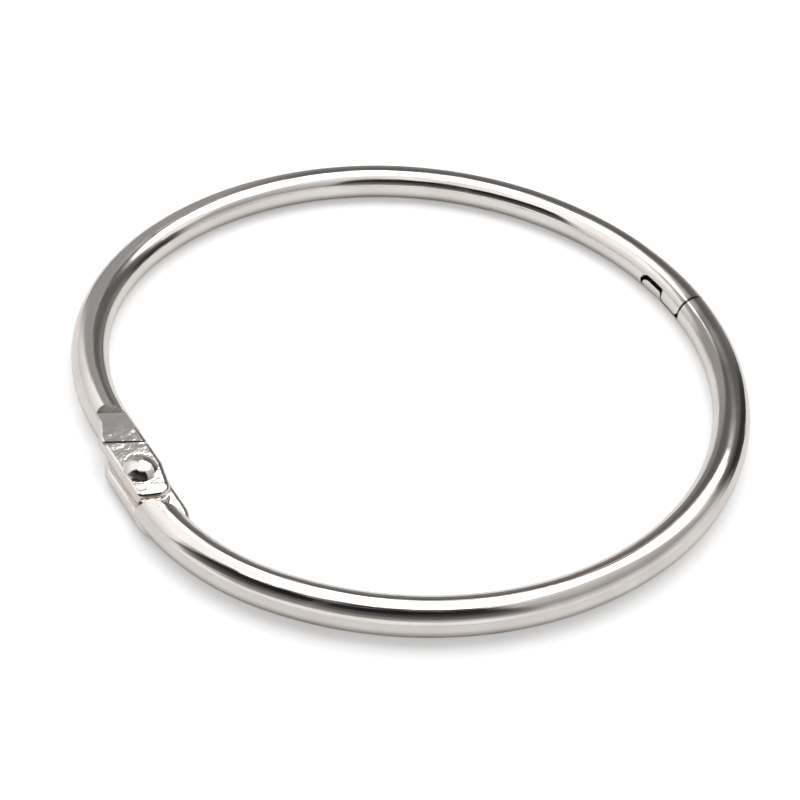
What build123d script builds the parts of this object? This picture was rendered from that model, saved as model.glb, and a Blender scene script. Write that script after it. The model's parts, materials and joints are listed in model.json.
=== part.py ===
from build123d import *
from math import cos, degrees, hypot, radians, sin, sqrt, tan
import os

# Hinged loose-leaf binder ring, closed and lying flat. Millimetres, +Z up, the floor at Z = 0.
# The riveted hinge lies towards -X and the snap clasp towards +X. The origin is half way between the
# hinge's outermost edge and the clasp, so the ring's circle is a little off it.

# Wire and ring
inner_diameter = 50.8
wire_diameter = 3.0
joint_line_angle = 4.15  # how far the hinge and the clasp lie in front of the X axis, in degrees

# Ends that curl in to the hinge
back_curl_start = 115.5  # direction in degrees where the back half starts to curl in
back_curl_radius = 22.2
front_curl_start = 217.0
front_curl_radius = 19.0

# Hinge leaves, stamped flat from the wire
pivot_inset = 0.55  # how far the pivot lies outside the back half's last straight
leaf_thickness = 1.05
leaf_gap = 0.08
back_leaf_outer = 1.5  # widths and reach are measured from the pivot
back_leaf_inner = 1.8
back_leaf_tip = 1.1  # inner width at the end of the leaf
back_leaf_reach = 3.4
back_leaf_outer_reach = 2.6  # the end is cut at a slant
front_leaf_outer = 2.05
front_leaf_inner = 1.85
front_leaf_reach = 3.3
leaf_flare_length = 3.0
leaf_flare_radius = 2.2
leaf_root_inset = 0.6  # from the side of the wire to the leaf's root
leaf_edge_radius = 0.42
leaf_edge_share = 0.45  # the most of a leaf's thickness that its edge rounding takes
back_leaf_outer_corner = 0.7
back_leaf_inner_corner = 1.1
front_leaf_corner = 1.6
swing_clearance = 0.2  # between a leaf's far corner and the other half's shoulder
back_shoulder_clearance = 0.45
shoulder_slant = 30  # the front half's shoulder is cut at a slant, in degrees

# Flat stamped into the wire in front of each leaf, and the mark that the die leaves across it
landing_length = 2.3
landing_ramp = 35  # in degrees
landing_slant = 25  # in degrees
crease_distance = 1.1  # from the back half's shoulder
crease_width = 0.42
crease_depth = 0.11

# Rivet
rivet_diameter = 1.6
rivet_head_diameter = 2.6
rivet_dome_height = 0.8
rivet_dome_wall = 0.18
rivet_foot_diameter = 2.4
rivet_foot_height = 0.32
rivet_foot_wall = 0.1
hole_clearance = 0.06  # on the radius
head_clearance = 0.06  # under the foot, so that the lower leaf can tilt
seat_clearance = 0.01  # under the dome

# Snap clasp, a half lap whose two hooks interlock
lap_length = 5.9
tongue_stock = 0.75  # wire past each end of the lap, which the seam cuts off
hook_depth = 0.43  # how far each hook reaches past the middle of the wire
hook_gap = 0.16  # between the two hooks' faces
crest_gap = 0.4  # above the lower hook, in the upper half's notch
valley_gap = 0.14  # below the upper hook
tip_gap = 0.22  # between each tongue's tip and the other half's shoulder
hook_nose_radius = 0.8
hook_heel_radius = 0.3
notch_radius = 0.8
valley_radius = 0.2

# Worked out from the sizes above
wire_radius = wire_diameter / 2
ring_radius = (inner_diameter + wire_diameter) / 2
outer_reach = ring_radius + wire_radius
middle = wire_radius
back_curl_shift = Vector(1, 0).rotate(Axis.Z, back_curl_start) * (ring_radius - back_curl_radius)
front_curl_shift = Vector(1, 0).rotate(Axis.Z, front_curl_start) * (ring_radius - front_curl_radius)
pivot_shift = back_curl_shift.X - back_curl_radius - pivot_inset
ring_centre = Vector(-(outer_reach + pivot_shift - front_leaf_outer) / 2, 0)
back_curl_centre = ring_centre + back_curl_shift
front_curl_centre = ring_centre + front_curl_shift
pivot_x = ring_centre.X + pivot_shift
pivot_y = -ring_radius * sin(radians(joint_line_angle))
back_leaf_far = max(hypot(back_leaf_tip, back_leaf_reach), hypot(back_leaf_outer, back_leaf_outer_reach))
front_leaf_far = hypot(max(front_leaf_outer, front_leaf_inner), front_leaf_reach)
back_shoulder_y = pivot_y + front_leaf_far + back_shoulder_clearance
front_shoulder_y = pivot_y - (back_leaf_far + swing_clearance) / cos(radians(shoulder_slant))


def arc_x(centre: Vector, radius: float, y: float) -> float:
    """X of the left side of a circle at a given Y."""
    return centre.X - sqrt(radius**2 - (y - centre.Y) ** 2)


def stamp_plane(shoulder_y: float) -> Plane:
    """Plane of the die's profile at a shoulder: X along the leaf at the slant of the stamp, Y up."""
    return Plane(
        origin=(pivot_x, shoulder_y, middle),
        x_dir=Vector(0, 1, 0).rotate(Axis.Z, -landing_slant),
        z_dir=Vector(1, 0, 0).rotate(Axis.Z, -landing_slant),
    )


# Clasp plane: X along the ring towards the back half, Y up, Z outward
clasp_direction = Vector(1, 0).rotate(Axis.Z, -joint_line_angle)
clasp_tangent = Vector(0, 1).rotate(Axis.Z, -joint_line_angle)
clasp_centre = ring_centre + clasp_direction * ring_radius + Vector(0, 0, middle)
clasp_plane = Plane(origin=clasp_centre, x_dir=clasp_tangent, z_dir=clasp_direction)
lap_half = lap_length / 2
spare = wire_diameter  # how far cutting shapes run past the wire
trim_size = 4 * wire_diameter  # side of the block that trims each wire at its shoulder
spare_turn = degrees(spare / front_curl_radius)
tongue_turn = degrees((lap_half + tongue_stock) / ring_radius)
clasp_start = -joint_line_angle - tongue_turn
clasp_end = -joint_line_angle + tongue_turn
hole_radius = rivet_diameter / 2 + hole_clearance
leaf_face = leaf_gap / 2 + leaf_thickness  # outer face of a leaf, from the middle of the wire
ramp_run = (wire_diameter - leaf_face) / tan(radians(landing_ramp))
edge_round = min(leaf_edge_radius, leaf_edge_share * leaf_thickness)
flare_root = wire_radius - leaf_root_inset  # half width of a leaf where it leaves the wire
back_flare_x = arc_x(back_curl_centre, back_curl_radius, back_shoulder_y + leaf_flare_length)
front_flare_x = arc_x(front_curl_centre, front_curl_radius, front_shoulder_y - leaf_flare_length)

# Wire of the back half, run straight past the hinge and cut square at the leaf's shoulder
with BuildPart() as back_wire:
    with BuildLine() as back_path:
        CenterArc((ring_centre.X, 0, middle), ring_radius, clasp_start, back_curl_start - clasp_start)
        back_curl = CenterArc(
            (back_curl_centre.X, back_curl_centre.Y, middle),
            back_curl_radius,
            back_curl_start,
            180 - back_curl_start,
        )
        Line(back_curl @ 1, (back_curl_centre.X - back_curl_radius, pivot_y - back_leaf_reach, middle))
    with BuildSketch(Plane(origin=back_path.line @ 0, z_dir=back_path.line % 0)):
        Circle(wire_radius)
    sweep()
    with BuildSketch(Plane.XY.offset(-spare)):
        with Locations((pivot_x, back_shoulder_y)):
            Rectangle(trim_size, trim_size, align=(Align.CENTER, Align.MAX))
    extrude(amount=wire_diameter + 2 * spare, mode=Mode.SUBTRACT)

# Back half: upper leaf at the hinge, upper hook at the clasp
with BuildPart() as half_ring_back:
    with BuildSketch(Plane.XY.offset(middle + leaf_gap / 2)):
        with BuildLine():
            FilletPolyline(
                (back_flare_x - flare_root, back_shoulder_y + leaf_flare_length),
                (pivot_x - back_leaf_outer, back_shoulder_y),
                (pivot_x - back_leaf_outer, pivot_y - back_leaf_outer_reach),
                (pivot_x + back_leaf_tip, pivot_y - back_leaf_reach),
                (pivot_x + back_leaf_inner, pivot_y),
                (pivot_x + back_leaf_inner, back_shoulder_y),
                (back_flare_x + flare_root, back_shoulder_y + leaf_flare_length),
                radius=[
                    0,
                    leaf_flare_radius,
                    back_leaf_outer_corner,
                    back_leaf_inner_corner,
                    leaf_flare_radius,
                    leaf_flare_radius,
                    0,
                ],
                close=True,
            )
        make_face()
    extrude(amount=leaf_thickness)
    leaf_faces = half_ring_back.faces().filter_by(Axis.Z).sort_by(Axis.Z)
    fillet(leaf_faces[0].edges() + leaf_faces[-1].edges(), edge_round)
    add(back_wire.part)
    # Landing, where the top of the wire is stamped down to the leaf, with the die's crease across the leaf
    with BuildSketch(stamp_plane(back_shoulder_y)):
        with BuildLine():
            Polyline(
                (-landing_length, leaf_face),
                (landing_length, leaf_face),
                (landing_length + ramp_run, wire_diameter),
                (-landing_length, wire_diameter),
                close=True,
            )
        make_face()
        with Locations((-crease_distance, leaf_face)):
            Rectangle(crease_width, 2 * crease_depth)
    extrude(amount=spare, both=True, mode=Mode.SUBTRACT)
    # Rivet hole
    with BuildSketch(Plane.XY):
        with Locations((pivot_x, pivot_y)):
            Circle(hole_radius)
    extrude(amount=wire_diameter, mode=Mode.SUBTRACT)
    # Hook and notch, cut through the wire from inside to outside
    with BuildSketch(clasp_plane):
        with BuildLine():
            FilletPolyline(
                (-lap_half - spare, -spare),
                (lap_half, -spare),
                (lap_half, hook_depth + crest_gap / 2),
                (-hook_gap / 2, hook_depth + crest_gap / 2),
                (-hook_gap / 2, -hook_depth),
                (-lap_half + tip_gap, -hook_depth),
                (-lap_half + tip_gap, spare),
                (-lap_half - spare, spare),
                radius=[0, 0, notch_radius, hook_heel_radius, hook_heel_radius, hook_nose_radius, 0, 0],
                close=True,
            )
        make_face()
    extrude(amount=spare, both=True, mode=Mode.SUBTRACT)

# Wire of the front half, run past its shoulder and cut there at a slant
with BuildPart() as front_wire:
    with BuildLine() as front_path:
        CenterArc(
            (ring_centre.X, 0, middle),
            ring_radius,
            front_curl_start - 360,
            360 + clasp_end - front_curl_start,
        )
        CenterArc(
            (front_curl_centre.X, front_curl_centre.Y, middle),
            front_curl_radius,
            180 - spare_turn,
            front_curl_start - 180 + spare_turn,
        )
    with BuildSketch(Plane(origin=front_path.line @ 0, z_dir=front_path.line % 0)):
        Circle(wire_radius)
    sweep()
    with BuildSketch(Plane.XY.offset(-spare)):
        with Locations(Location((pivot_x, front_shoulder_y), -shoulder_slant)):
            Rectangle(trim_size, trim_size, align=(Align.CENTER, Align.MIN))
    extrude(amount=wire_diameter + 2 * spare, mode=Mode.SUBTRACT)

# Front half: lower leaf at the hinge, lower hook at the clasp
with BuildPart() as half_ring_front:
    with BuildSketch(Plane.XY.offset(middle - leaf_gap / 2)):
        with BuildLine():
            FilletPolyline(
                (front_flare_x - flare_root, front_shoulder_y - leaf_flare_length),
                (pivot_x - front_leaf_outer, front_shoulder_y),
                (pivot_x - front_leaf_outer, pivot_y + front_leaf_reach),
                (pivot_x + front_leaf_inner, pivot_y + front_leaf_reach),
                (pivot_x + front_leaf_inner, front_shoulder_y),
                (front_flare_x + flare_root, front_shoulder_y - leaf_flare_length),
                radius=[0, leaf_flare_radius, front_leaf_corner, front_leaf_corner, leaf_flare_radius, 0],
                close=True,
            )
        make_face()
    extrude(amount=-leaf_thickness)
    leaf_faces = half_ring_front.faces().filter_by(Axis.Z).sort_by(Axis.Z)
    fillet(leaf_faces[0].edges() + leaf_faces[-1].edges(), edge_round)
    add(front_wire.part)
    # Landing, where the underside of the wire is stamped up to the leaf
    with BuildSketch(stamp_plane(front_shoulder_y)):
        with BuildLine():
            Polyline(
                (landing_length, -leaf_face),
                (-landing_length, -leaf_face),
                (-landing_length - ramp_run, -wire_diameter),
                (landing_length, -wire_diameter),
                close=True,
            )
        make_face()
    extrude(amount=spare, both=True, mode=Mode.SUBTRACT)
    # Rivet hole
    with BuildSketch(Plane.XY):
        with Locations((pivot_x, pivot_y)):
            Circle(hole_radius)
    extrude(amount=wire_diameter, mode=Mode.SUBTRACT)
    # Hook and valley, the other side of the same seam
    with BuildSketch(clasp_plane):
        with BuildLine():
            FilletPolyline(
                (lap_half + spare, spare),
                (-lap_half, spare),
                (-lap_half, -hook_depth - valley_gap),
                (hook_gap / 2, -hook_depth - valley_gap),
                (hook_gap / 2, hook_depth - crest_gap / 2),
                (lap_half - tip_gap, hook_depth - crest_gap / 2),
                (lap_half - tip_gap, -spare),
                (lap_half + spare, -spare),
                radius=[0, 0, valley_radius, hook_heel_radius, hook_heel_radius, hook_nose_radius, 0, 0],
                close=True,
            )
        make_face()
    extrude(amount=spare, both=True, mode=Mode.SUBTRACT)

# Hinge rivet: domed head on top, flatter formed foot underneath
dome_base = middle + leaf_gap / 2 + leaf_thickness + seat_clearance
foot_base = middle - leaf_gap / 2 - leaf_thickness - head_clearance
with BuildPart() as hinge_rivet:
    with BuildSketch(Plane(origin=(pivot_x, pivot_y, 0), x_dir=(1, 0, 0), z_dir=(0, -1, 0))):
        with BuildLine():
            foot_arc = TangentArc(
                (0, foot_base - rivet_foot_height),
                (rivet_foot_diameter / 2, foot_base - rivet_foot_wall),
                tangent=(1, 0),
            )
            dome_arc = TangentArc(
                (0, dome_base + rivet_dome_height),
                (rivet_head_diameter / 2, dome_base + rivet_dome_wall),
                tangent=(1, 0),
            )
            Polyline(
                foot_arc @ 1,
                (rivet_foot_diameter / 2, foot_base),
                (rivet_diameter / 2, foot_base),
                (rivet_diameter / 2, dome_base),
                (rivet_head_diameter / 2, dome_base),
                dome_arc @ 1,
            )
            Line(foot_arc @ 0, dome_arc @ 0)
        make_face()
    revolve(axis=Axis((pivot_x, pivot_y, 0), (0, 0, 1)))

half_ring_back.part.label = "half_ring_back"
half_ring_front.part.label = "half_ring_front"
hinge_rivet.part.label = "hinge_rivet"

os.makedirs("parts", exist_ok=True)
export_step(half_ring_back.part, "parts/half_ring_back.step")
export_step(half_ring_front.part, "parts/half_ring_front.step")
export_step(hinge_rivet.part, "parts/hinge_rivet.step")
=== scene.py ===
"""Looks of a hinged binder ring in bright nickel plate, closed and lying on a pale studio floor.

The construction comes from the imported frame. This script dresses its nodes, sets up the studio and the camera.
Lengths are in metres, angles in degrees.
"""

from __future__ import annotations

import json
import logging
import math
from dataclasses import dataclass, field
from enum import Enum

import bpy
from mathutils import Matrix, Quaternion, Vector

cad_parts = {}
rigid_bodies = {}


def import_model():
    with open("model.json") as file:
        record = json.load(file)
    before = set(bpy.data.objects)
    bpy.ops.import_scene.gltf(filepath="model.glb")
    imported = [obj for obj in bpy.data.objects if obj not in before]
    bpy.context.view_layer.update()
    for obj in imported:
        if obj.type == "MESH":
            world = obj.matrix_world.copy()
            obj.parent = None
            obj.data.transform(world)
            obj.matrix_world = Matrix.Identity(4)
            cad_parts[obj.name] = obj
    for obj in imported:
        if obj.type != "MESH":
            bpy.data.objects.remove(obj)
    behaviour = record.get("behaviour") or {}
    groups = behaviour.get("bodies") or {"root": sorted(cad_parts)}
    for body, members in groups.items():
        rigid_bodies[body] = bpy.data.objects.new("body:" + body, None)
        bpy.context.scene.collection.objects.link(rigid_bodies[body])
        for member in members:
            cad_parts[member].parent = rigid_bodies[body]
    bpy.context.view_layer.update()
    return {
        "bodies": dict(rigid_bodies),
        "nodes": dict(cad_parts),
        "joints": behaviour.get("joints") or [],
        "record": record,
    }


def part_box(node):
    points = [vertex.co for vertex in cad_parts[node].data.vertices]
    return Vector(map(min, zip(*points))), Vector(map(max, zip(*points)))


LOG = logging.getLogger("binder_ring")
MILLIMETRE = 0.001
COLOUR_A, COLOUR_B, COLOUR_RESULT = 6, 7, 2  # colour sockets of a Mix node, whose names its other sockets share

Colour = tuple[float, float, float]
Span = tuple[float, float]
Feed = float | bpy.types.NodeSocket

WHITE = (1.0, 1.0, 1.0, 1.0)


class Socket(Enum):
    """Kinds of socket that the shader groups use."""

    VALUE = "NodeSocketFloat"
    COLOUR = "NodeSocketColor"
    VECTOR = "NodeSocketVector"


class Seen(Enum):
    """Which rays meet a studio piece."""

    BY_ALL = "all"
    IN_GLOSS = "gloss"


@dataclass(frozen=True)
class RingSizes:
    """Main sizes of the ring, read from the frame.

    Attributes:
        centre: Centre of the ring's circle, at the height of the wire's centre line.
        ring_radius: Radius of the wire's centre line.
        pivot: Middle of the hinge rivet.
    """

    centre: Vector
    ring_radius: float
    pivot: Vector

    @classmethod
    def from_frame(cls) -> RingSizes:
        """Reads the sizes from the boxes of the front half, which reaches the circle's front and right, and the rivet.

        Returns:
            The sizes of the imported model.
        """
        low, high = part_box("half_ring_front")
        rivet_low, rivet_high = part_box("hinge_rivet")
        wire_radius = (high.z - low.z) / 2
        outer_radius = -low.y
        return cls(
            centre=Vector((high.x - outer_radius, 0, low.z + wire_radius)),
            ring_radius=outer_radius - wire_radius,
            pivot=(rivet_low + rivet_high) / 2,
        )


class NodeSketch:
    """Adds shader nodes to a tree and links them in few words."""

    def __init__(self, tree: bpy.types.NodeTree) -> None:
        """Keeps the tree that the nodes go into.

        Args:
            tree: Node tree of a material, a world or a group.
        """
        self.tree = tree

    def add(self, kind: str, inputs: dict | None = None, **settings: object) -> bpy.types.Node:
        """Adds one node.

        Args:
            kind: Blender's node type.
            inputs: Socket name or number to a value, or to an output socket that is linked.
            **settings: Properties of the node.

        Returns:
            The new node.
        """
        node = self.tree.nodes.new(kind)
        for key, value in settings.items():
            setattr(node, key, value)
        for key, value in (inputs or {}).items():
            if isinstance(value, bpy.types.NodeSocket):
                self.tree.links.new(value, node.inputs[key])
            else:
                node.inputs[key].default_value = value
        return node

    def math(self, operation: str, *values: Feed) -> bpy.types.NodeSocket:
        """Adds a Math node.

        Args:
            operation: Name of the operation.
            *values: Numbers or output sockets.

        Returns:
            The node's output.
        """
        return self.add("ShaderNodeMath", dict(enumerate(values)), operation=operation).outputs[0]

    def fit(
        self, value: bpy.types.NodeSocket, start: Feed, end: Feed, first: Feed = 0.0, last: Feed = 1.0
    ) -> bpy.types.NodeSocket:
        """Adds a straight rise or fall between two points, level outside them.

        Args:
            value: What is looked up.
            start: The value at which the result is the first one.
            end: The value at which the result is the last one.
            first: First result.
            last: Last result.

        Returns:
            The node's output.
        """
        ends = {"From Min": start, "From Max": end, "To Min": first, "To Max": last}
        return self.add("ShaderNodeMapRange", {"Value": value, **ends}).outputs["Result"]

    def noise(self, place: bpy.types.NodeSocket, scale: Feed, detail: float) -> bpy.types.NodeSocket:
        """Adds a noise.

        Args:
            place: Where it is looked up.
            scale: How many of its patches fit in a length of 1 there.
            detail: How many finer layers it has.

        Returns:
            A value between 0 and 1.
        """
        return self.add("ShaderNodeTexNoise", {"Vector": place, "Scale": scale, "Detail": detail}).outputs["Fac"]

    def bump(
        self, depth: float, height: bpy.types.NodeSocket, under: bpy.types.NodeSocket | None = None
    ) -> bpy.types.NodeSocket:
        """Adds a relief.

        Args:
            depth: Depth of the relief.
            height: Share of the depth.
            under: Normal of the surface that it lies on, where that has a relief already.

        Returns:
            The normal.
        """
        inputs = {"Strength": 1.0, "Distance": depth, "Height": height}
        if under is not None:
            inputs["Normal"] = under
        return self.add("ShaderNodeBump", inputs).outputs["Normal"]


class SharedGroup:
    """A shader group that several materials use, built once.

    Attributes:
        name: Name of the group.
        inputs: Names and kinds of its inputs.
        outputs: Names and kinds of its outputs.
    """

    name: str
    inputs: dict[str, Socket]
    outputs: dict[str, Socket]

    def tree(self) -> bpy.types.NodeTree:
        """Gives the group's tree, built on its first use.

        Returns:
            The tree with its sockets and nodes.
        """
        found = bpy.data.node_groups.get(self.name)
        if found:
            return found
        tree = bpy.data.node_groups.new(self.name, "ShaderNodeTree")
        for in_out, sockets in (("INPUT", self.inputs), ("OUTPUT", self.outputs)):
            for socket_name, kind in sockets.items():
                tree.interface.new_socket(socket_name, in_out=in_out, socket_type=kind.value)
        sketch = NodeSketch(tree)
        given = sketch.add("NodeGroupInput").outputs
        sketch.add("NodeGroupOutput", self.results(sketch, given))
        return tree

    def results(self, sketch: NodeSketch, given: bpy.types.NodeOutputs) -> dict[str, bpy.types.NodeSocket]:
        """Adds the nodes between the inputs and the outputs.

        Args:
            sketch: Where the nodes go.
            given: The group's inputs.

        Returns:
            What feeds each output.
        """
        raise NotImplementedError


class DrawnLines(SharedGroup):
    """Lines that the drawing die leaves along a wire, as a height over the surface.

    Attributes:
        detail: How many finer layers the lines have.
    """

    name = "drawn_lines"
    inputs = {
        "Place": Socket.VECTOR,
        "Ring Centre": Socket.VECTOR,
        "Ring Radius": Socket.VALUE,
        "Lines Around": Socket.VALUE,
        "Stretch": Socket.VALUE,
    }
    outputs = {"Height": Socket.VALUE}
    detail: float = 3.0

    def results(self, sketch: NodeSketch, given: bpy.types.NodeOutputs) -> dict[str, bpy.types.NodeSocket]:
        """Unrolls the wire by its two angles and lays a noise over it that is long in one direction.

        Args:
            sketch: Where the nodes go.
            given: The group's inputs.

        Returns:
            The height, between 0 and 1.
        """
        offset = sketch.add("ShaderNodeVectorMath", {0: given["Place"], 1: given["Ring Centre"]}, operation="SUBTRACT")
        place = sketch.add("ShaderNodeSeparateXYZ", {0: offset.outputs["Vector"]}).outputs
        flat = sketch.add("ShaderNodeCombineXYZ", {0: place["X"], 1: place["Y"]}).outputs[0]
        reach = sketch.add("ShaderNodeVectorMath", {0: flat}, operation="LENGTH").outputs["Value"]
        along = sketch.math("ARCTAN2", place["Y"], place["X"])
        around = sketch.math("ARCTAN2", place["Z"], sketch.math("SUBTRACT", reach, given["Ring Radius"]))
        unrolled = sketch.add(
            "ShaderNodeCombineXYZ",
            {
                0: sketch.math("MULTIPLY", along, given["Stretch"]),
                1: sketch.math("MULTIPLY", sketch.math("COSINE", around), given["Lines Around"]),
                2: sketch.math("MULTIPLY", sketch.math("SINE", around), given["Lines Around"]),
            },
        ).outputs[0]
        return {"Height": sketch.noise(unrolled, 1.0, self.detail)}


class PlateTone(SharedGroup):
    """Clouding of a plated surface: a faint change of tint and of gloss.

    Attributes:
        cloud_detail: How many finer layers the clouds have.
        cloud_span: Values of the clouds' noise between which the plate goes from clean to dull.
        speck_detail: How many finer layers the specks have.
        speck_span: The same span for the specks' noise.
        speck_share: How dull a speck is at most.
    """

    name = "plate_tone"
    inputs = {
        "Place": Socket.VECTOR,
        "Cloud Scale": Socket.VALUE,
        "Speck Scale": Socket.VALUE,
        "Clean Tint": Socket.COLOUR,
        "Dull Tint": Socket.COLOUR,
        "Clean Roughness": Socket.VALUE,
        "Dull Roughness": Socket.VALUE,
    }
    outputs = {"Tint": Socket.COLOUR, "Roughness": Socket.VALUE}
    cloud_detail: float = 4.0
    cloud_span: Span = (0.35, 0.75)
    speck_detail: float = 2.0
    speck_span: Span = (0.62, 0.78)
    speck_share: float = 0.6

    def results(self, sketch: NodeSketch, given: bpy.types.NodeOutputs) -> dict[str, bpy.types.NodeSocket]:
        """Mixes two tints and two gloss values by clouds and fine specks.

        Args:
            sketch: Where the nodes go.
            given: The group's inputs.

        Returns:
            The tint and the roughness.
        """
        cloud = sketch.noise(given["Place"], given["Cloud Scale"], self.cloud_detail)
        speck = sketch.noise(given["Place"], given["Speck Scale"], self.speck_detail)
        speckled = sketch.math("MULTIPLY", sketch.fit(speck, *self.speck_span), self.speck_share)
        dull = sketch.math("MAXIMUM", sketch.fit(cloud, *self.cloud_span), speckled)
        tint = sketch.add(
            "ShaderNodeMix",
            {"Factor": dull, COLOUR_A: given["Clean Tint"], COLOUR_B: given["Dull Tint"]},
            data_type="RGBA",
        ).outputs[COLOUR_RESULT]
        roughness = sketch.fit(dull, 0.0, 1.0, given["Clean Roughness"], given["Dull Roughness"])
        return {"Tint": tint, "Roughness": roughness}


class StampedZone(SharedGroup):
    """Stretch round the hinge where the die left the metal less smooth than the drawn wire."""

    name = "stamped_zone"
    inputs = {"Place": Socket.VECTOR, "Hinge": Socket.VECTOR, "Reach": Socket.VALUE, "Fade": Socket.VALUE}
    outputs = {"Share": Socket.VALUE}

    def results(self, sketch: NodeSketch, given: bpy.types.NodeOutputs) -> dict[str, bpy.types.NodeSocket]:
        """Measures how far a place is from the hinge.

        Args:
            sketch: Where the nodes go.
            given: The group's inputs.

        Returns:
            1 within the reach of the hinge, fading to 0 outside it.
        """
        away = sketch.add("ShaderNodeVectorMath", {0: given["Place"], 1: given["Hinge"]}, operation="DISTANCE")
        faded = sketch.math("ADD", given["Reach"], given["Fade"])
        return {"Share": sketch.fit(away.outputs["Value"], given["Reach"], faded, 1.0, 0.0)}


def new_material(name: str) -> bpy.types.Material:
    """Makes a material whose node tree is empty.

    Args:
        name: Name of the material.

    Returns:
        The material.
    """
    made = bpy.data.materials.new(name)
    made.use_nodes = True
    made.node_tree.nodes.clear()
    return made


@dataclass(frozen=True)
class NickelPlate:
    """Bright nickel plate on drawn or stamped steel.

    Attributes:
        name: Name of the material.
        clean_tint: Colour where the plate is clean.
        dull_tint: Colour where it has clouded over.
        clean_roughness: Roughness where it is clean.
        dull_roughness: Roughness where it has clouded over.
        cloud_size: Size of the clouds.
        speck_size: Size of the dull specks.
        line_depth: Depth of the lines along the wire.
        lines_around: How many lines lie round the wire.
        line_stretch: How fast the lines change along the ring.
        ripple_depth: Depth of the soft ripple under the plate.
        ripple_size: Size of that ripple.
        ripple_detail: How many finer layers it has.
        stamp_depth: Depth of the unevenness that the die left round the hinge.
        stamp_size: Size of that unevenness.
        stamp_detail: How many finer layers it has.
        stamp_reach: How far from the rivet it goes.
        stamp_fade: Length over which it dies out.
    """

    name: str
    clean_tint: Colour = (0.83, 0.79, 0.755)
    dull_tint: Colour = (0.74, 0.69, 0.65)
    clean_roughness: float = 0.06
    dull_roughness: float = 0.16
    cloud_size: float = 4 * MILLIMETRE
    speck_size: float = 0.25 * MILLIMETRE
    line_depth: float = 0.02 * MILLIMETRE
    lines_around: float = 5.0
    line_stretch: float = 2.2
    ripple_depth: float = 0.006 * MILLIMETRE
    ripple_size: float = 1.6 * MILLIMETRE
    ripple_detail: float = 1.0
    stamp_depth: float = 0.045 * MILLIMETRE
    stamp_size: float = 0.9 * MILLIMETRE
    stamp_detail: float = 3.0
    stamp_reach: float = 4.6 * MILLIMETRE
    stamp_fade: float = 1.6 * MILLIMETRE

    def material(self, sizes: RingSizes) -> bpy.types.Material:
        """Builds the material.

        Args:
            sizes: Sizes of the ring, which the lines along the wire and the stamped marks follow.

        Returns:
            The finished material.
        """
        made = new_material(self.name)
        sketch = NodeSketch(made.node_tree)
        place = sketch.add("ShaderNodeTexCoord").outputs["Object"]
        tone = sketch.add(
            "ShaderNodeGroup",
            {
                "Place": place,
                "Cloud Scale": 1 / self.cloud_size,
                "Speck Scale": 1 / self.speck_size,
                "Clean Tint": (*self.clean_tint, 1.0),
                "Dull Tint": (*self.dull_tint, 1.0),
                "Clean Roughness": self.clean_roughness,
                "Dull Roughness": self.dull_roughness,
            },
            node_tree=PlateTone().tree(),
        ).outputs
        shader = sketch.add(
            "ShaderNodeBsdfPrincipled",
            {
                "Base Color": tone["Tint"],
                "Roughness": tone["Roughness"],
                "Metallic": 1.0,
                "Normal": self.relief(sketch, place, sizes),
            },
        )
        sketch.add("ShaderNodeOutputMaterial", {"Surface": shader.outputs[0]})
        return made

    def relief(self, sketch: NodeSketch, place: bpy.types.NodeSocket, sizes: RingSizes) -> bpy.types.NodeSocket:
        """Adds the plate's relief: drawn lines, a soft ripple over them and stamping marks at the hinge.

        Args:
            sketch: Where the nodes go.
            place: Place on the piece.
            sizes: Sizes of the ring.

        Returns:
            The normal.
        """
        lines = sketch.add(
            "ShaderNodeGroup",
            {
                "Place": place,
                "Ring Centre": sizes.centre,
                "Ring Radius": sizes.ring_radius,
                "Lines Around": self.lines_around,
                "Stretch": self.line_stretch,
            },
            node_tree=DrawnLines().tree(),
        ).outputs["Height"]
        ripple = sketch.noise(place, 1 / self.ripple_size, self.ripple_detail)
        dents = sketch.noise(place, 1 / self.stamp_size, self.stamp_detail)
        zone = sketch.add(
            "ShaderNodeGroup",
            {"Place": place, "Hinge": sizes.pivot, "Reach": self.stamp_reach, "Fade": self.stamp_fade},
            node_tree=StampedZone().tree(),
        ).outputs["Share"]
        drawn = sketch.bump(self.line_depth, lines)
        rippled = sketch.bump(self.ripple_depth, ripple, drawn)
        return sketch.bump(self.stamp_depth, sketch.math("MULTIPLY", dents, zone), rippled)


@dataclass
class PlatedPiece:
    """A piece whose solid already has the full form, so that only its finish is added.

    Attributes:
        node: Name of the CAD node.
        finish: Finish of the piece.
    """

    node: str
    finish: NickelPlate

    def dress(self, frame: dict, sizes: RingSizes) -> None:
        """Puts the finish in every slot of the node.

        Args:
            sizes: Sizes of the ring.
        """
        material = self.finish.material(sizes)
        for slot in frame["nodes"][self.node].material_slots:
            slot.material = material
        LOG.info("%s: dressed in %s", self.node, material.name)


class HalfRing(PlatedPiece):
    """One half of the ring: round wire with its hinge leaf and its clasp hook."""


class HingeRivet(PlatedPiece):
    """The rivet through both hinge leaves."""


def place_in_studio(piece: bpy.types.Object, seen: Seen) -> None:
    """Links a piece to the scene as part of the studio.

    Args:
        piece: The studio piece.
        seen: Which rays meet it.
    """
    bpy.context.scene.collection.objects.link(piece)
    if seen is Seen.IN_GLOSS:
        piece.visible_camera = False
        piece.visible_diffuse = False
        piece.visible_transmission = False
        piece.visible_volume_scatter = False
        piece.visible_shadow = False


def between(span: Span, share: float) -> float:
    """Gives the value at a share of the way along a span."""
    return span[0] + share * (span[1] - span[0])


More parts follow.
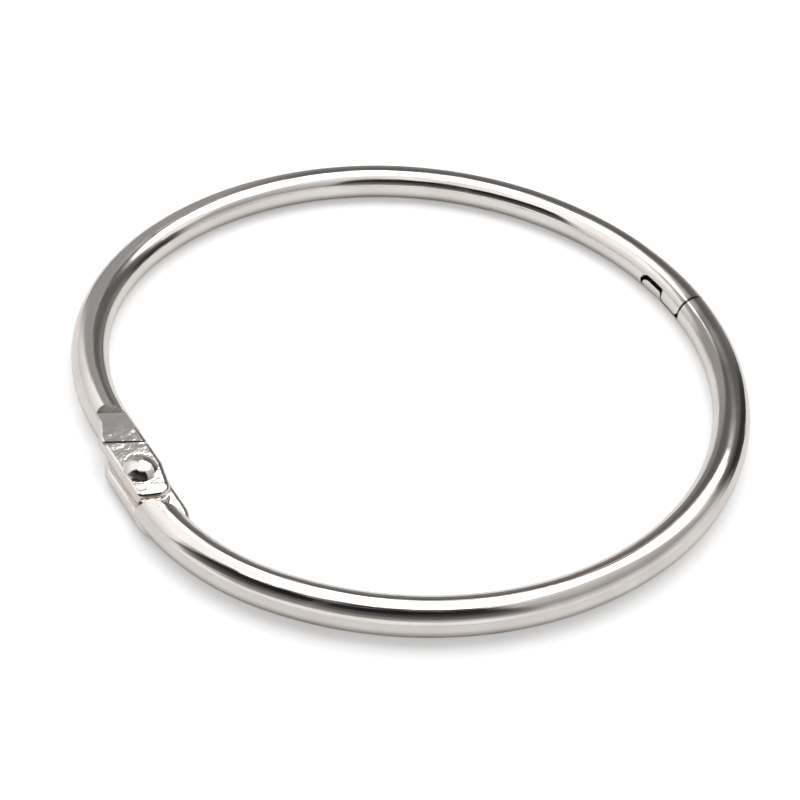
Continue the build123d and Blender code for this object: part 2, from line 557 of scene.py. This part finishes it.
@dataclass(frozen=True)
class Card:
    """A card that stands close round the ring and shows only in the metal's gloss.

    Attributes:
        name: Name of the card.
        turn: From and to, in degrees to the right of the camera as seen from the ring.
        first_height: From and to at its first side, in degrees above the floor.
        last_height: The same at its last side.
        stops: Share of its height and brightness there, from the bottom up.
        soft_sides: Share of its width over which each side fades out.
        soft_ends: Share of its height over which the bottom and the top fade out.
        distance: Distance from the ring's centre.
        columns: Points across the card.
        rows: Points up the card.
    """

    name: str
    turn: Span
    first_height: Span
    last_height: Span
    stops: tuple[Span, ...]
    soft_sides: float = 0.12
    soft_ends: Span = (0.12, 0.08)
    distance: float = 90 * MILLIMETRE
    columns: int = 49
    rows: int = 33

    def build(self, camera_azimuth: float, centre: Vector) -> None:
        """Builds the card as a patch of a ball round the ring.

        Args:
            camera_azimuth: Direction of the camera in plan, in degrees.
            centre: Centre of the ring.
        """
        points, across, upward = [], [], []
        for row in range(self.rows):
            for column in range(self.columns):
                side, height = column / (self.columns - 1), row / (self.rows - 1)
                span = (
                    between((self.first_height[0], self.last_height[0]), side),
                    between((self.first_height[1], self.last_height[1]), side),
                )
                rise = math.radians(between(span, height))
                turn = math.radians(camera_azimuth + between(self.turn, side))
                level = Vector((math.sin(turn), -math.cos(turn), 0)) * math.cos(rise)
                points.append(centre + (level + Vector((0, 0, math.sin(rise)))) * self.distance)
                across.append(side)
                upward.append(height)
        corners = (0, 1, self.columns + 1, self.columns)
        faces = [
            tuple(row * self.columns + column + corner for corner in corners)
            for row in range(self.rows - 1)
            for column in range(self.columns - 1)
        ]
        mesh = bpy.data.meshes.new(self.name)
        mesh.from_pydata(points, [], faces)
        for name, values in (("across", across), ("upward", upward)):
            mesh.attributes.new(name, "FLOAT", "POINT").data.foreach_set("value", values)
        mesh.materials.append(self.material())
        place_in_studio(bpy.data.objects.new(self.name, mesh), Seen.IN_GLOSS)

    def material(self) -> bpy.types.Material:
        """Builds the card's graded brightness and its soft edges.

        Returns:
            The finished material.
        """
        made = new_material(self.name)
        sketch = NodeSketch(made.node_tree)
        across = sketch.add("ShaderNodeAttribute", attribute_name="across").outputs["Fac"]
        upward = sketch.add("ShaderNodeAttribute", attribute_name="upward").outputs["Fac"]
        glow = sketch.add("ShaderNodeEmission", {"Color": self.tone(sketch, upward), "Strength": 1.0})
        clear = sketch.add("ShaderNodeBsdfTransparent")
        cover = self.fade(sketch, across, self.soft_sides)
        for place, share in (
            (sketch.math("SUBTRACT", 1.0, across), self.soft_sides),
            (upward, self.soft_ends[0]),
            (sketch.math("SUBTRACT", 1.0, upward), self.soft_ends[1]),
        ):
            cover = sketch.math("MULTIPLY", cover, self.fade(sketch, place, share))
        both = sketch.add("ShaderNodeMixShader", {0: cover, 1: clear.outputs[0], 2: glow.outputs[0]})
        sketch.add("ShaderNodeOutputMaterial", {"Surface": both.outputs[0]})
        return made

    def tone(self, sketch: NodeSketch, upward: bpy.types.NodeSocket) -> bpy.types.NodeSocket:
        """Adds the ramp of the card's brightness.

        Args:
            sketch: Where the nodes go.
            upward: Share of the card's height.

        Returns:
            The grey at that height.
        """
        node = sketch.add("ShaderNodeValToRGB", {"Fac": upward})
        elements = node.color_ramp.elements
        while len(elements) < len(self.stops):
            elements.new(1.0)
        for element, (position, value) in zip(elements, self.stops):
            element.position = position
            element.color = (value, value, value, 1.0)
        return node.outputs["Color"]

    @staticmethod
    def fade(sketch: NodeSketch, place: bpy.types.NodeSocket, share: float) -> bpy.types.NodeSocket:
        """Adds a soft rise from an edge of the card.

        Args:
            sketch: Where the nodes go.
            place: Distance from the edge, as a share of the card.
            share: Where the rise ends.

        Returns:
            0 on the edge and 1 past the rise.
        """
        return sketch.add(
            "ShaderNodeMapRange", {"Value": place, "From Max": share}, interpolation_type="SMOOTHSTEP"
        ).outputs["Result"]


@dataclass(frozen=True)
class PhotoCamera:
    """The camera, at the photograph's viewing angle.

    Attributes:
        azimuth: Direction in plan: 0 looks along +Y.
        elevation: Height above the horizon.
        roll: Turn of the camera about its own axis.
        distance: Distance from the ring's centre.
        focal: Focal length, as a share of the picture's width.
        centre: Where the ring's centre lies, from the picture's middle to the right and up, in picture widths.
        sensor_width: Width of the sensor, in Blender's millimetres.
        clip: Nearest and farthest distance that it shows.
    """

    azimuth: float = -35.14
    elevation: float = 40.61
    roll: float = 5.59
    distance: float = 139.9 * MILLIMETRE
    focal: float = 2.115375
    centre: Span = (0.00805, 0.0407375)
    sensor_width: float = 36.0
    clip: Span = (5 * MILLIMETRE, 10.0)

    def build(self, sizes: RingSizes) -> None:
        """Builds the camera and makes it the scene's.

        Args:
            sizes: Sizes of the ring.
        """
        turn, rise = math.radians(self.azimuth), math.radians(self.elevation)
        back = Vector((math.sin(turn) * math.cos(rise), -math.cos(turn) * math.cos(rise), math.sin(rise)))
        data = bpy.data.cameras.new("photo_camera")
        data.sensor_width = self.sensor_width
        data.lens = self.focal * self.sensor_width
        data.shift_x, data.shift_y = -self.centre[0], -self.centre[1]
        data.clip_start, data.clip_end = self.clip
        camera = bpy.data.objects.new("photo_camera", data)
        camera.rotation_mode = "QUATERNION"
        camera.location = sizes.centre + back * self.distance
        level = (-back).to_track_quat("-Z", "Y")
        camera.rotation_quaternion = level @ Quaternion((0, 0, 1), math.radians(self.roll))
        bpy.context.scene.collection.objects.link(camera)
        bpy.context.scene.camera = camera


@dataclass
class Studio:
    """Pale floor, white surroundings, one soft light from above and the cards that shade the gloss.

    Attributes:
        camera: The camera.
        floor_size: Side of the square floor.
        floor_tint: Colour of the floor.
        near_lift: What the floor gains towards white where the camera sees it, close to the ring.
        far_lift: What it gains out of the soft light's reach.
        lift_reach: Distances from the ring at which the gain starts to grow and has grown.
        world_level: Brightness of the surroundings as a light.
        softbox_size: Width and depth of the soft light.
        softbox_place: Where it hangs: behind the ring as the camera sees it, and above the floor.
        softbox_level: Brightness of its face.
        cards: The cards in the gloss.
    """

    camera: PhotoCamera
    floor_size: float = 3.0
    floor_tint: Colour = (0.90, 0.90, 0.90)
    near_lift: float = 0.32
    far_lift: float = 0.78
    lift_reach: Span = (0.10, 0.35)
    world_level: float = 0.3
    softbox_size: Span = (0.50, 0.36)
    softbox_place: Span = (0.13, 0.30)
    softbox_level: float = 2.0
    cards: list[Card] = field(default_factory=list)

    def build(self, sizes: RingSizes) -> None:
        """Builds the whole studio.

        Args:
            sizes: Sizes of the ring.
        """
        self.build_world()
        self.build_floor()
        self.build_softbox()
        self.camera.build(sizes)
        for card in self.cards:
            card.build(self.camera.azimuth, sizes.centre)
        LOG.info("studio: floor, world, soft light, camera and %d cards", len(self.cards))

    def build_world(self) -> None:
        """Makes the world white to the eye and the gloss, and a plain soft light to the rest."""
        world = bpy.data.worlds.new("studio_world")
        world.use_nodes = True
        world.node_tree.nodes.clear()
        sketch = NodeSketch(world.node_tree)
        path = sketch.add("ShaderNodeLightPath").outputs
        seen = sketch.math("MAXIMUM", path["Is Camera Ray"], path["Is Glossy Ray"])
        seen = sketch.math("MAXIMUM", seen, path["Is Transmission Ray"])
        level = sketch.fit(seen, 0.0, 1.0, self.world_level, 1.0)
        white = sketch.add("ShaderNodeBackground", {"Color": WHITE, "Strength": level})
        sketch.add("ShaderNodeOutputWorld", {"Surface": white.outputs[0]})
        bpy.context.scene.world = world

    def build_floor(self) -> None:
        """Makes the pale floor, which keeps the ring's shadow."""
        half = self.floor_size / 2
        corners = [(-half, -half, 0), (half, -half, 0), (half, half, 0), (-half, half, 0)]
        mesh = bpy.data.meshes.new("studio_floor")
        mesh.from_pydata(corners, [], [(0, 1, 2, 3)])
        made = new_material("studio_floor")
        sketch = NodeSketch(made.node_tree)
        matt = sketch.add("ShaderNodeBsdfDiffuse", {"Color": (*self.floor_tint, 1.0)})
        seen = sketch.add("ShaderNodeLightPath").outputs["Is Camera Ray"]
        place = sketch.add("ShaderNodeTexCoord").outputs["Object"]
        reach = sketch.add("ShaderNodeVectorMath", {0: place}, operation="LENGTH").outputs["Value"]
        gain = sketch.fit(reach, *self.lift_reach, self.near_lift, self.far_lift)
        glow = sketch.add("ShaderNodeEmission", {"Color": WHITE, "Strength": sketch.math("MULTIPLY", seen, gain)})
        both = sketch.add("ShaderNodeAddShader", {0: matt.outputs[0], 1: glow.outputs[0]})
        sketch.add("ShaderNodeOutputMaterial", {"Surface": both.outputs[0]})
        mesh.materials.append(made)
        place_in_studio(bpy.data.objects.new("studio_floor", mesh), Seen.BY_ALL)

    def build_softbox(self) -> None:
        """Hangs the soft light above and behind the ring."""
        width, depth = self.softbox_size
        behind, above = self.softbox_place
        turn = math.radians(self.camera.azimuth)
        data = bpy.data.lights.new("softbox", "AREA")
        data.shape = "RECTANGLE"
        data.size, data.size_y = width, depth
        data.energy = self.softbox_level * math.pi * width * depth
        light = bpy.data.objects.new("softbox", data)
        light.location = (-math.sin(turn) * behind, math.cos(turn) * behind, above)
        light.rotation_euler = (0, 0, turn)
        bpy.context.scene.collection.objects.link(light)


def studio_cards() -> list[Card]:
    """Lists the cards round the table.

    Returns:
        Two dark cards on the camera's side, grey ones on the right and the far side, and a white one on the left.
    """
    dark_front = ((0.0, 0.65), (0.14, 0.33), (0.3, 0.13), (0.45, 0.07), (0.6, 0.02), (0.8, 0.01), (1.0, 0.1))
    return [
        Card(
            "camera_left_card",
            turn=(-68, -13),
            first_height=(9, 58),
            last_height=(9, 64),
            stops=dark_front,
            soft_sides=0.14,
        ),
        Card(
            "camera_right_card",
            turn=(-23, 42),
            first_height=(9, 66),
            last_height=(9, 68),
            stops=dark_front,
        ),
        Card(
            "right_side_card",
            turn=(24, 108),
            first_height=(0, 72),
            last_height=(0, 60),
            stops=((0.0, 0.85), (0.2, 0.68), (0.38, 0.36), (0.55, 0.48), (0.75, 0.62), (1.0, 0.85)),
            soft_sides=0.2,
            distance=93 * MILLIMETRE,
        ),
        Card(
            "far_side_card",
            turn=(96, 200),
            first_height=(-6, 32),
            last_height=(-4, 59),
            stops=((0.0, 0.14), (0.3, 0.26), (0.55, 0.13), (0.8, 0.12), (1.0, 0.4)),
            soft_ends=(0.04, 0.12),
            distance=95 * MILLIMETRE,
        ),
        Card(
            "far_corner_card",
            turn=(88, 140),
            first_height=(0, 30),
            last_height=(0, 30),
            stops=((0.0, 0.05), (0.6, 0.03), (1.0, 0.12)),
            soft_sides=0.3,
            soft_ends=(0.02, 0.4),
            distance=94 * MILLIMETRE,
        ),
        Card(
            "far_left_card",
            turn=(176, 240),
            first_height=(-5, 40),
            last_height=(-3, 60),
            stops=((0.0, 0.3), (0.4, 0.36), (0.8, 0.34), (1.0, 0.5)),
            soft_sides=0.2,
            soft_ends=(0.04, 0.08),
            distance=97 * MILLIMETRE,
        ),
        Card(
            "left_side_card",
            turn=(-145, -56),
            first_height=(0, 80),
            last_height=(0, 80),
            stops=((0.0, 0.6), (0.2, 0.8), (0.5, 1.15), (1.0, 1.2)),
            distance=99 * MILLIMETRE,
        ),
    ]


def set_view_transform() -> None:
    """Shows colours as they are written."""
    bpy.context.scene.view_settings.view_transform = "Standard"


def main() -> None:
    """Loads the frame, dresses the ring and sets up the studio."""
    logging.basicConfig(level=logging.INFO, format="%(name)s: %(message)s")
    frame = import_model()
    sizes = RingSizes.from_frame()
    set_view_transform()
    wire_finish = NickelPlate("nickel_plated_wire")
    HalfRing("half_ring_back", wire_finish).dress(frame, sizes)
    HalfRing("half_ring_front", wire_finish).dress(frame, sizes)
    HingeRivet("hinge_rivet", NickelPlate("nickel_plated_rivet")).dress(frame, sizes)
    Studio(PhotoCamera(), cards=studio_cards()).build(sizes)


if __name__ == "__main__":
    main()
